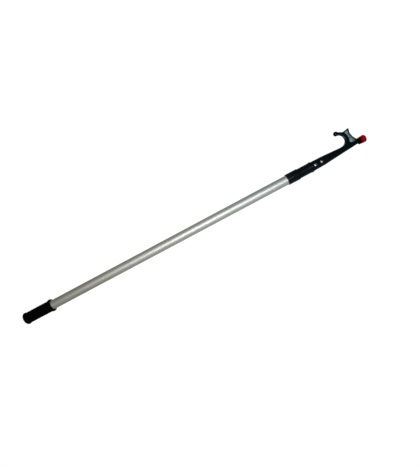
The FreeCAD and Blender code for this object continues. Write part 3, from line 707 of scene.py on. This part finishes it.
def make_rivet(end):
    """A blind rivet, from its swollen tail up through the hole to its domed head."""
    low, high = extent(f"socket_rivet_{end}")
    tail, top = low[2], high[2]
    seat = top - RIVET_HEAD
    bore, shank, bulb, brim = 1.02, 2.0, 3.1, 4.0
    rivet = turned(f"rivet_{end}", [
        (tail, bore), (tail, 2.6, 0.5), (tail + 1.0, bulb, 0.3), (tail + 2.8, bulb, 0.3), (tail + 2.8, shank),
        (seat, shank), (seat, brim, 0.25), (seat + 0.55, brim, 0.3), (seat + 1.3, 2.9, 1.5),
        (top, 1.7, 0.6), (top, 1.25, 0.2), (top - 0.5, bore)],
        spins=48, centre=((low[0] + high[0]) / 2, 0.0), upright=True)
    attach(rivet, "inner_pole")
    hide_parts(f"socket_rivet_{end}")
    return rivet


# ---------------------------------------------------------------- light and floor

# How far along X a direction points, from 0 to 1, and the surroundings' light there.
SURROUNDINGS = [
    (0.12, (0.010, 0.008, 0.000)), (0.31, (0.080, 0.058, 0.000)), (0.41, (0.37, 0.335, 0.13)),
    (0.48, (0.50, 0.51, 0.51)), (0.54, (0.46, 0.48, 0.50)), (0.65, (0.17, 0.20, 0.23)),
    (0.80, (0.12, 0.15, 0.19)), (0.95, (0.04, 0.05, 0.06)),
]
STAGE_SIZE = 6.0        # half the floor's side, and the walls' height
FLOOR_GAP = 0.0002
FLOOR_SHADE, FLOOR_GLOW = 0.25, 0.91
WALL_SHADE, WALL_GLOW = 0.05, 0.97


def make_world():
    """Soft studio surroundings: warm and dim beyond the butt, brightest abreast, cool beyond the tip.

    Towards the tip the -Y side is the brighter one, and towards the butt the +Y side is.
    """
    world = bpy.data.worlds.new("studio")
    world.use_nodes = True
    tree = world.node_tree
    direction = add_node(tree, "ShaderNodeTexCoord").outputs["Generated"]
    split = add_node(tree, "ShaderNodeSeparateXYZ", {"Vector": direction}).outputs
    span = add_node(tree, "ShaderNodeMapRange", {"Value": split["X"], "From Min": -1.0})
    ramp = add_node(tree, "ShaderNodeValToRGB", {"Fac": span.outputs["Result"]})
    stops = ramp.color_ramp.elements
    while len(stops) < len(SURROUNDINGS):
        stops.new(0.5)
    for stop, (place, light) in zip(stops, SURROUNDINGS):
        stop.position, stop.color = place, (*light, 1)
    tipward = add_node(tree, "ShaderNodeMapRange", {
        "Value": split["X"], "From Min": -0.6, "From Max": 0.0, "To Min": -0.8})
    tilt = add_node(tree, "ShaderNodeMath", {0: split["Y"], 1: tipward.outputs["Result"]},
                    operation="MULTIPLY")
    sideways = add_node(tree, "ShaderNodeMapRange", {
        "Value": tilt.outputs["Value"], "From Min": -1.0, "To Min": 1.3, "To Max": 0.7})
    background = tree.nodes["Background"].inputs
    tree.links.new(ramp.outputs["Color"], background["Color"])
    tree.links.new(sideways.outputs["Result"], background["Strength"])
    bpy.context.scene.world = world


def softbox(name, place, aim, size, power, colour):
    """An oval area light: size along X, then across it."""
    data = bpy.data.lights.new(name, "AREA")
    data.shape = "ELLIPSE"
    data.size, data.size_y = size
    data.energy = power
    data.color = colour
    back = (Vector(place) - Vector(aim)).normalized()
    stand(name, data, place, (*across_pole(back), back))


def stage_sheet(name, verts, faces, shade, glow):
    """A plain white sheet whose glow doesn't fall on the piece or show in its gloss."""
    mesh = bpy.data.meshes.new(name)
    mesh.from_pydata(verts, [], faces)
    sheet = bpy.data.objects.new(name, mesh)
    bpy.context.scene.collection.objects.link(sheet)
    white = Paint(f"{name}_white", (shade, shade, shade), 0.8, Emission_Color=(1, 1, 1, 1),
                  Emission_Strength=glow)
    mesh.materials.append(white.material)
    sheet.visible_glossy = False
    sheet.visible_diffuse = False
    return sheet


def make_floor():
    """A pale floor under the pole, and four pale walls round it."""
    level = cad_low.z - FLOOR_GAP
    corners = [(side * STAGE_SIZE, end * STAGE_SIZE) for side, end in ((-1, -1), (1, -1), (1, 1), (-1, 1))]
    stage_sheet("floor", [(*c, level) for c in corners], [(0, 1, 2, 3)], FLOOR_SHADE, FLOOR_GLOW)
    rims = [(*c, z) for z in (level, STAGE_SIZE) for c in corners]
    sides = [(side, (side + 1) % 4, (side + 1) % 4 + 4, side + 4) for side in range(4)]
    walls = stage_sheet("backdrop", rims, sides, WALL_SHADE, WALL_GLOW)
    walls.visible_shadow = False


make_camera()
bpy.context.scene.view_settings.view_transform = "Standard"
make_world()
softbox("key", place=(0.64, 0.02, 1.25), aim=(0.64, 0.0, 0.0), size=(0.53, 0.27), power=7.3,
        colour=(1.0, 1.0, 0.98))
softbox("tip_fill", place=(1.06, -0.05, 1.25), aim=(1.06, 0.0, 0.0), size=(0.24, 0.34), power=1.6,
        colour=(0.68, 0.95, 1.0))
make_floor()

anodised_outer = anodised("anodised_outer", (0.80, 0.81, 0.82), 0.58)
anodised_inner = anodised("anodised_inner", (0.76, 0.77, 0.78), 0.55)
grip_black = rubber("grip_black", (0.0008, 0.0008, 0.0008), 0.85)
nylon_head = moulded("nylon_head", (0.0003, 0.0009, 0.0016), 0.215, gloss=0.29, tint=(0.58, 0.92, 1.0),
                     seam_axis="Z")
nylon_collar = moulded("nylon_collar", (0.0004, 0.0010, 0.002), 0.27, gloss=0.24, tint=(0.60, 0.80, 1.0),
                       seam_axis="Y")
black_plastic = plain_plastic("black_plastic", (0.02, 0.02, 0.022), 0.55)
acetal = plain_plastic("acetal", (0.80, 0.79, 0.74), 0.4)
brass = turned_metal("brass", (0.78, 0.58, 0.28), 0.3)
zinc = turned_metal("zinc", (0.62, 0.63, 0.64), 0.34)
rivet_metal = turned_metal("rivet_metal", (0.60, 0.60, 0.65), 0.38)
bumper_red = bumper_rubber("bumper_red", red=(0.52, 0.001, 0.011), dark=(0.003, 0.000, 0.001),
                           root=BUMPER_REAR + 4.5, fade=10.5)
foam = foam_bung("foam", (0.82, 0.82, 0.80))

for piece, finish in ((make_head(), nylon_head), (make_grip(), grip_black), (make_collar(), nylon_collar),
                      (make_bumper(), bumper_red)):
    piece.data.materials.append(finish)
for end in RIVETS:
    make_rivet(end).data.materials.append(rivet_metal)

FINISHES = {
    "outer_tube": anodised_outer, "inner_tube": anodised_inner, "butt_plug": black_plastic,
    "stud_plug": black_plastic, "guide_bush": acetal, "expander_sleeve": acetal, "expander_cone": acetal,
    "cone_nut": brass, "lock_stud": zinc, "thrust_washer": zinc, "plug_pin": zinc, "stop_washer": zinc,
    "stop_nut": zinc, "rivet_mandrels": zinc, "tube_float": foam,
}
for node, finish in FINISHES.items():
    finish_node(node, finish)
